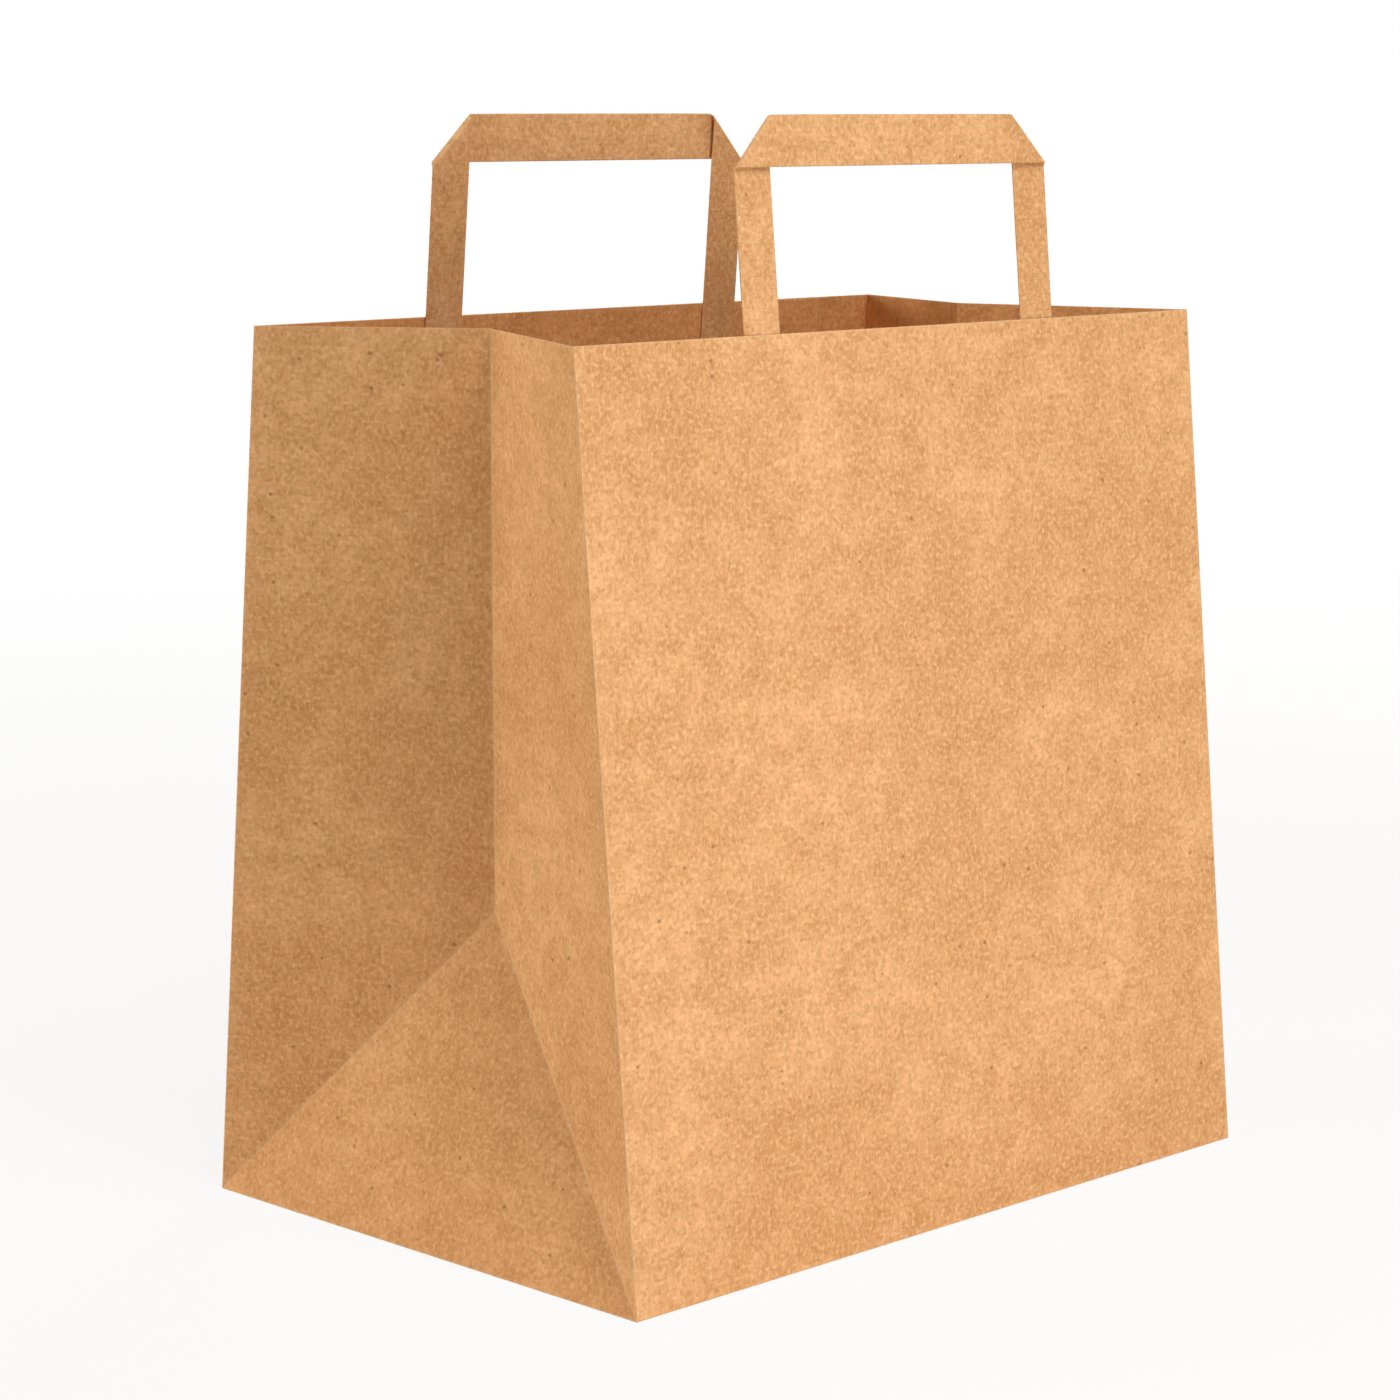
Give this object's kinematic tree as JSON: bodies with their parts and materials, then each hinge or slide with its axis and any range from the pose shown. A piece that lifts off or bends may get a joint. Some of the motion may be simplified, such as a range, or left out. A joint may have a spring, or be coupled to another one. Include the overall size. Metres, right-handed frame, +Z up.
{
  "type": "paper carrier bag",
  "caption": "Flat-bottomed brown kraft paper carrier bag with side gussets, standing open, with folded flat-tape handles.",
  "frame": {"origin": "on the floor, at the centre of the bag's base", "axes": "+Z up from the base to the handles, +Y from the front panel to the back panel, +X from the left gusset to the right gusset as seen from the front"},
  "size_m": [0.26, 0.18, 0.3198],
  "materials": {
    "kraft_sheet": "uncoated brown kraft paper, about 100 g/m2, machine finished",
    "kraft_tape": "the same kraft paper folded into a flat tape of four plies",
    "kraft_patch": "uncoated brown kraft paper strip, glued down"
  },
  "bodies": {
    "root": {"bag_body": "kraft_sheet", "front_handle": "kraft_tape", "back_handle": "kraft_tape", "front_handle_patch": "kraft_patch", "back_handle_patch": "kraft_patch"}
  },
  "joints": []
}
